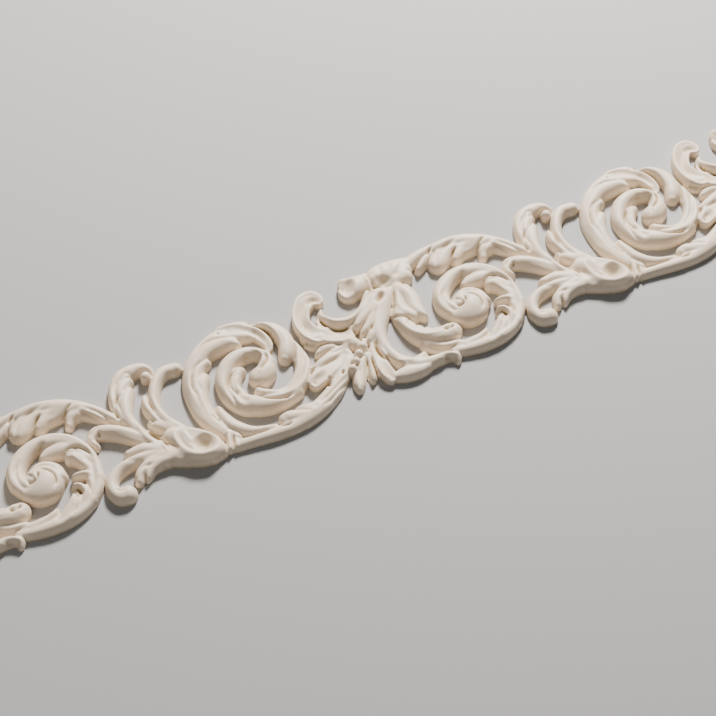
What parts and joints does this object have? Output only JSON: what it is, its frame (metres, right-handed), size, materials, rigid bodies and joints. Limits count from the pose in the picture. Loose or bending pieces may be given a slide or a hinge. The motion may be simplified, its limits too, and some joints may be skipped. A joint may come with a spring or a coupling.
{
  "type": "decorative moulding",
  "caption": "Pierced frieze of acanthus scrolls, horns and rosettes in low relief on a flat back, cut square at both ends.",
  "frame": {"origin": "centre of the flat back, on the face that is fixed to the wall or panel", "axes": "+X along the run, +Y across the band towards its upper edge, +Z out of the back towards the viewer"},
  "size_m": [0.64, 0.1041, 0.0135],
  "materials": {
    "ivory_casting": "matte ivory, warm ochre in the hollows"
  },
  "bodies": {
    "root": {"scroll_moulding": "ivory_casting"}
  },
  "joints": []
}
